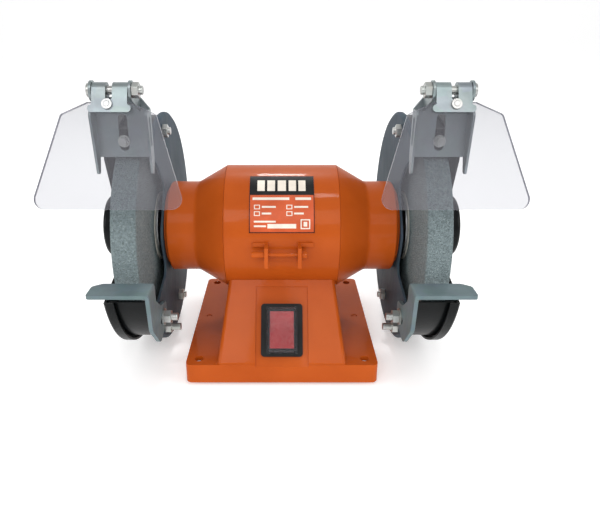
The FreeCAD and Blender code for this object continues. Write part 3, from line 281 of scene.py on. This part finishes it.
MATERIAL_OF_SLOT = {
    "orange_paint": ORANGE,
    "black_paint": BLACK,
    "zinc": ZINC,
    "steel": STEEL,
    "abrasive": GRIT,
    "paper": PAPER,
    "rubber": RUBBER,
    "black_plastic": BLACK_PLASTIC,
    "red_plastic": RED_PLASTIC,
    "clear_boot": BOOT,
    "clear_plastic": SHIELD,
    "label": PLATE_FILM,
    "lamination": CORE,
    "copper": COPPER,
}
MATERIAL_OF_NODE = {
    # inner guard plates get the zinc with painted shade
    "left_inner_guard": ZINC_PAINTED_SHADE,
    "right_inner_guard": ZINC_PAINTED_SHADE,
    # tool rests get the zinc with painted shade
    "left_tool_rest": REST_ZINC_PAINTED_SHADE,
    "right_tool_rest": REST_ZINC_PAINTED_SHADE,
}
FASTENERS = ("bolt", "bolts", "screw", "screws", "nut")

# width of the soft edge in mm
EDGE_WIDTH = {
    "orange_paint": 0.7,
    "black_paint": 0.35,
    "zinc": 0.25,
    "black_plastic": 0.4,
    "red_plastic": 0.1,
    "clear_plastic": 0.4,
    "abrasive": 0.5,
    "steel": 0.25,
    "rubber": 0.5,
}
OTHER_EDGE_WIDTH = 0.15
JOIN_DISTANCE = 0.002 * MM
FLAT_ANGLE = math.radians(0.3)
EDGE_ANGLE = math.radians(32)


def finish_node(name, slot):
    """Gives a CAD node its material, soft edges and even shading."""
    node = nodes[name]
    material = MATERIAL_OF_NODE.get(name, MATERIAL_OF_SLOT[slot])
    if slot == "zinc" and name.split("_")[-1] in FASTENERS:
        material = FASTENER
    node.data.materials.clear()
    node.data.materials.append(material)
    for face in node.data.polygons:
        face.use_smooth = True
    weld = node.modifiers.new("join", "WELD")
    weld.merge_threshold = JOIN_DISTANCE
    merge = node.modifiers.new("flat_faces", "DECIMATE")
    merge.decimate_type = "DISSOLVE"
    merge.angle_limit = FLAT_ANGLE
    bevel = node.modifiers.new("soft_edges", "BEVEL")
    bevel.width = EDGE_WIDTH.get(slot, OTHER_EDGE_WIDTH) * MM
    bevel.segments = 2
    bevel.limit_method = "ANGLE"
    bevel.angle_limit = EDGE_ANGLE
    even = node.modifiers.new("even_shading", "WEIGHTED_NORMAL")
    even.keep_sharp = True


for entry in frame["record"]["subparts"]:
    finish_node(entry["node"], entry["material_slot"])


# ---- printed plate ------------------------------------------------------------------

shaft_low, shaft_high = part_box("shaft")
AXIS_Z = (shaft_low[2] + shaft_high[2]) / 2
PLATE_RADIUS = 0.0
for vertex in nodes["rating_plate"].data.vertices:
    PLATE_RADIUS = max(PLATE_RADIUS, math.hypot(vertex.co.y, vertex.co.z - AXIS_Z))
PRINT_THICKNESS = 0.06 * MM
DEGREES_PER_STEP = 2.5

# height of each layer of print above the plate, in mm
FIRST_PRINT = 0.08
BORDER_PRINT = 0.1
SECOND_PRINT = 0.14
THIRD_PRINT = 0.2


def curved_patch(name, left, right, low, high, lift, material):
    """A thin print on the motor's front: X limits in mm, angles in degrees above level."""
    radius = PLATE_RADIUS + lift * MM
    steps_round = max(2, int((high - low) / DEGREES_PER_STEP))
    mesh = bmesh.new()
    rows = []
    for row in range(steps_round + 1):
        angle = math.radians(low + (high - low) * row / steps_round)
        y = -radius * math.cos(angle)
        z = AXIS_Z + radius * math.sin(angle)
        rows.append([mesh.verts.new((x * MM, y, z)) for x in (left, right)])
    for below, above in zip(rows, rows[1:]):
        mesh.faces.new((below[0], below[1], above[1], above[0]))
    data = bpy.data.meshes.new(name)
    mesh.to_mesh(data)
    mesh.free()
    piece = bpy.data.objects.new(name, data)
    bpy.context.scene.collection.objects.link(piece)
    thick = piece.modifiers.new("film", "SOLIDIFY")
    thick.thickness = PRINT_THICKNESS
    data.materials.append(material)
    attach(piece, "frame")


# limits are (left, right, low angle, high angle)
curved_patch("plate_header", -21.4, 21.4, 46.8, 68.6, FIRST_PRINT, PLATE_BLACK)
MARKS = ((-16.5, -11.5), (-9.8, -4.6), (-2.8, 2.8), (4.6, 9.6), (11.2, 16.0))
for number, (left, right) in enumerate(MARKS):
    curved_patch("plate_mark_%d" % number, left, right, 50.8, 62.8, SECOND_PRINT, PLATE_INK)
curved_patch("plate_line_top", -19.5, 5.0, 42.0, 44.4, FIRST_PRINT, PLATE_INK)
curved_patch("plate_line_code", 9.0, 19.5, 42.0, 44.4, FIRST_PRINT, PLATE_INK)
for row, angle in enumerate((35.6, 29.8)):
    for column, x in enumerate((-18.5, 3.0)):
        tag = "%d_%d" % (row, column)
        line_end = x + 14.5 - 3.0 * row
        curved_patch("plate_icon_" + tag, x, x + 4.0, angle - 2.0, angle + 2.0, FIRST_PRINT, PLATE_INK)
        curved_patch(
            "plate_icon_fill_" + tag, x + 0.6, x + 3.4, angle - 1.3, angle + 1.3, SECOND_PRINT, PLATE_FILM
        )
        curved_patch(
            "plate_entry_" + tag, x + 5.2, line_end, angle - 0.7, angle + 0.9, FIRST_PRINT, PLATE_INK
        )
curved_patch("plate_line_low", -18.5, -4.0, 22.2, 23.7, FIRST_PRINT, PLATE_INK)
curved_patch("plate_box", -9.5, 9.5, 17.2, 21.0, FIRST_PRINT, PLATE_INK)
curved_patch("plate_line_serial", -18.5, -10.5, 18.3, 19.8, FIRST_PRINT, PLATE_INK)
curved_patch("plate_emblem", 12.4, 18.8, 16.6, 25.0, FIRST_PRINT, PLATE_INK)
curved_patch("plate_emblem_fill", 13.2, 18.0, 17.6, 24.0, SECOND_PRINT, PLATE_FILM)
curved_patch("plate_emblem_bar", 14.4, 16.8, 18.8, 22.8, THIRD_PRINT, PLATE_INK)
for name, left, right, low, high in (
    ("left", -21.7, -21.2, 13.3, 68.7),
    ("right", 21.2, 21.7, 13.3, 68.7),
    ("low", -21.7, 21.7, 13.3, 14.0),
):
    curved_patch("plate_border_" + name, left, right, low, high, BORDER_PRINT, PLATE_BLACK)


# ---- floor, light, camera -----------------------------------------------------------


FLOOR_REACH = 9.0
BEND_START = 1.6
BEND_RADIUS = 1.0
BEND_STEPS = 12
WALL_TOP = 4.0


def floor_sweep():
    """A pale floor that curves up into a wall behind the grinder."""
    mesh = bmesh.new()
    profile = [(-FLOOR_REACH, 0.0), (BEND_START, 0.0)]
    for step in range(1, BEND_STEPS + 1):
        angle = math.pi / 2 * step / BEND_STEPS
        profile.append((BEND_START + BEND_RADIUS * math.sin(angle), BEND_RADIUS * (1.0 - math.cos(angle))))
    profile.append((BEND_START + BEND_RADIUS, WALL_TOP))
    rows = [[mesh.verts.new((x, y, z)) for x in (-FLOOR_REACH, FLOOR_REACH)] for y, z in profile]
    for near, far in zip(rows, rows[1:]):
        mesh.faces.new((near[0], near[1], far[1], far[0]))
    data = bpy.data.meshes.new("floor")
    mesh.to_mesh(data)
    mesh.free()
    floor = bpy.data.objects.new("floor", data)
    bpy.context.scene.collection.objects.link(floor)
    for face in data.polygons:
        face.use_smooth = True
    paint = Paint("pale_floor")
    near_white = [(0.0, (0.92, 0.92, 0.92)), (1.0, (0.95, 0.95, 0.95))]
    paint.colour(paint.ramp(paint.noise(3.0, 2.0), near_white))
    paint.set(Roughness=0.9, Specular_IOR_Level=0.1)
    paint.set(Emission_Color=(1, 1, 1, 1), Emission_Strength=0.28)
    floor.data.materials.append(paint.material)


# (name, place in m, size in m, power in W)
LAMPS = (
    ("key", (-0.45, -1.4, 1.2), 0.7, 7),
    ("fill", (0.45, -1.4, 1.1), 0.8, 5.5),
    ("left_side", (-1.3, -0.6, 0.6), 0.7, 5),
    ("right_side", (1.3, -0.6, 0.6), 0.7, 5),
    ("top", (0.1, -0.4, 1.6), 0.2, 2.5),
    ("rear", (0.0, 0.8, 1.15), 0.14, 4),
)
LAMP_TARGET = Vector((0, 0, 0.09))


def studio_light():
    """Even white surroundings and six soft lamps aimed at the grinder."""
    world = bpy.data.worlds.new("studio")
    world.use_nodes = True
    background = world.node_tree.nodes["Background"]
    background.inputs["Color"].default_value = (1, 1, 1, 1)
    background.inputs["Strength"].default_value = 0.55
    bpy.context.scene.world = world

    for name, place, size, power in LAMPS:
        lamp = bpy.data.lights.new(name, "AREA")
        lamp.size = size
        lamp.energy = power
        lamp_object = bpy.data.objects.new(name, lamp)
        lamp_object.location = place
        aim = LAMP_TARGET - Vector(place)
        lamp_object.rotation_euler = aim.to_track_quat("-Z", "Y").to_euler()
        bpy.context.scene.collection.objects.link(lamp_object)


CAMERA_PITCH_DOWN = 21.03


def camera():
    """The camera of the main view: in front of the grinder, looking slightly down."""
    data = bpy.data.cameras.new("camera")
    data.sensor_width = 36.0
    data.lens = 34.15
    data.shift_x = 0.0303
    data.shift_y = -0.0417
    data.clip_start = 0.01
    view = bpy.data.objects.new("camera", data)
    view.location = (0.0, -0.3957, 0.2368)
    view.rotation_euler = (math.radians(90 - CAMERA_PITCH_DOWN), 0, 0)
    bpy.context.scene.collection.objects.link(view)
    bpy.context.scene.camera = view
    bpy.context.scene.view_settings.view_transform = "Standard"


floor_sweep()
studio_light()
camera()
